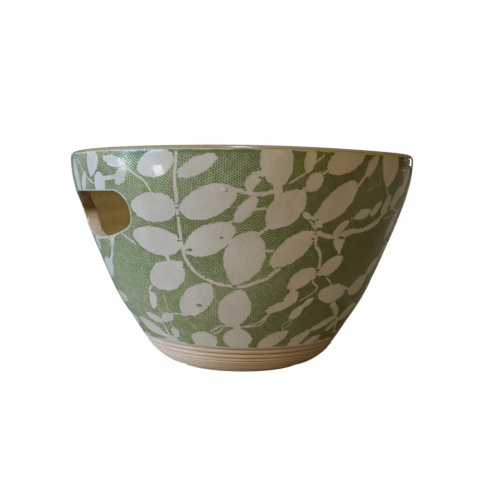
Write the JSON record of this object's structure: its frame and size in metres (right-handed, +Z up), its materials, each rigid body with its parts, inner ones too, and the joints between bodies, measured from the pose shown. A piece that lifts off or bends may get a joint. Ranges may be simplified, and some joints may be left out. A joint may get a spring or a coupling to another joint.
{
  "type": "yarn bowl",
  "caption": "Round ceramic bowl that holds a ball of yarn, with a wide slot through its wall for the yarn, a rounded lip and a turned foot ring.",
  "frame": {"origin": "centre of the foot, on the surface that the bowl stands on", "axes": "+Z up along the bowl's axis; -X through the middle of the slot"},
  "size_m": [0.165, 0.165, 0.1015],
  "materials": {
    "stoneware": "bare fired stoneware, turned",
    "white_slip": "white slip under clear gloss glaze",
    "green_slip": "green slip printed through lace, under clear gloss glaze",
    "honey_glaze": "honey-brown gloss glaze",
    "tan_glaze": "thin tan gloss glaze over turned beads"
  },
  "bodies": {
    "root": {"clay_body": "stoneware", "slip_coat": "white_slip", "lace_print": "green_slip", "liner_glaze": "honey_glaze", "heel_glaze": "tan_glaze", "slot_glaze": "honey_glaze"}
  },
  "joints": []
}
